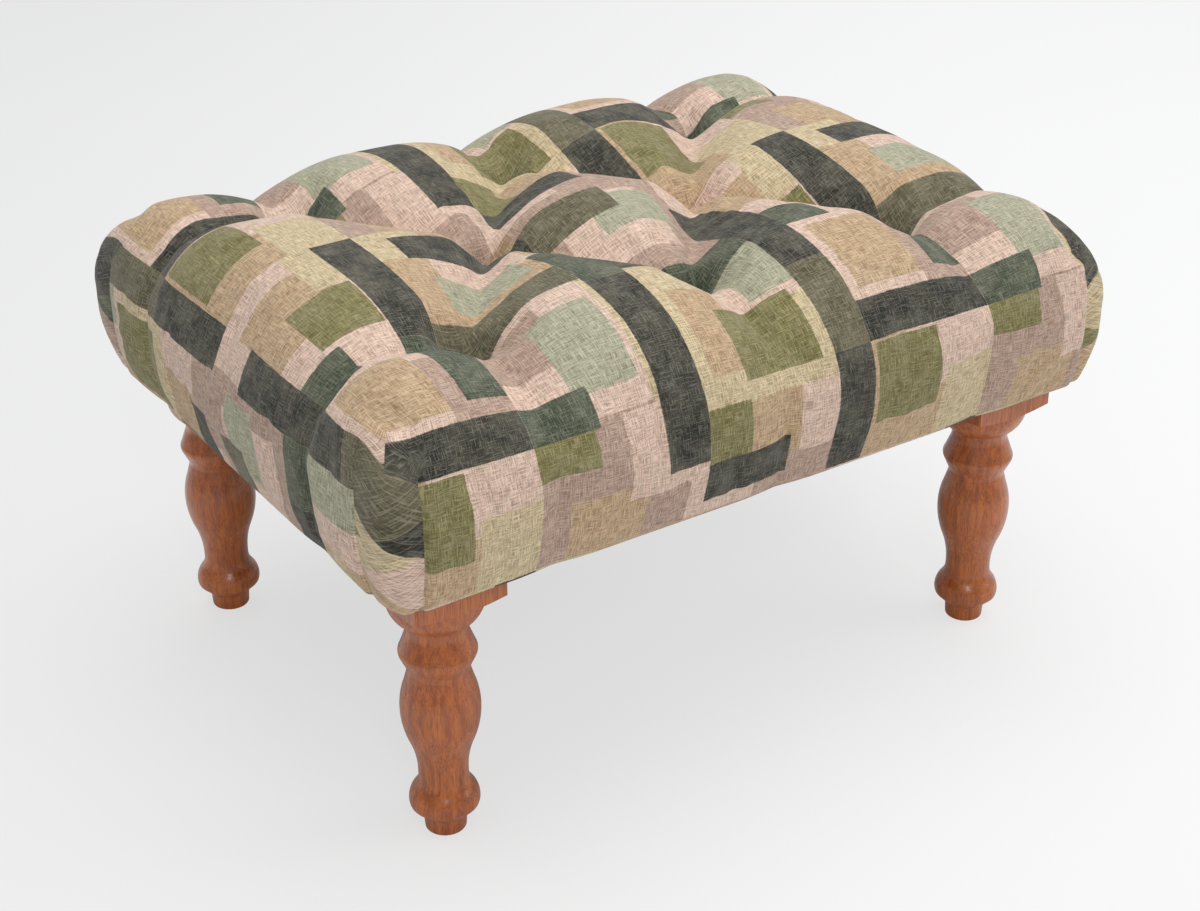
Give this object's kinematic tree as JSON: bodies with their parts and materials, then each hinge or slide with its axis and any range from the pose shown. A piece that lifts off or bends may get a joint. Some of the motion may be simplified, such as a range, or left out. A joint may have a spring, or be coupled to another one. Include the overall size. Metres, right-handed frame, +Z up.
{
  "type": "upholstered footstool",
  "caption": "Low rectangular footstool with a deep tufted fabric cushion on a boxed wooden frame and turned legs.",
  "frame": {"origin": "on the floor, under the middle of the stool", "axes": "+X along the long side, +Y away from the front, +Z up"},
  "size_m": [0.524, 0.406, 0.3145],
  "materials": {
    "stained_leg_wood": "satin",
    "frame_wood": "matte",
    "deck_plywood": "matte",
    "zinc_steel": "satin",
    "twine": "matte",
    "printed_linen": "matte",
    "polyester_wadding": "matte",
    "foam": "matte",
    "black_dust_cloth": "matte"
  },
  "bodies": {
    "root": {"back_left_corner_block": "frame_wood", "back_left_leg": "stained_leg_wood", "back_rail": "frame_wood", "back_right_corner_block": "frame_wood", "back_right_leg": "stained_leg_wood", "block_screws": "zinc_steel", "cover_staples": "zinc_steel", "deck_board": "deck_plywood", "deck_screws": "zinc_steel", "dust_cover": "black_dust_cloth", "dust_cover_staples": "zinc_steel", "foam_block": "foam", "front_left_corner_block": "frame_wood", "front_left_leg": "stained_leg_wood", "front_rail": "frame_wood", "front_right_corner_block": "frame_wood", "front_right_leg": "stained_leg_wood", "hanger_bolts": "zinc_steel", "left_rail": "frame_wood", "rail_screws": "zinc_steel", "right_rail": "frame_wood", "seat_cover": "printed_linen", "threaded_inserts": "zinc_steel", "tuft_ties": "twine", "tuft_washers": "zinc_steel", "wadding": "polyester_wadding"}
  },
  "joints": []
}
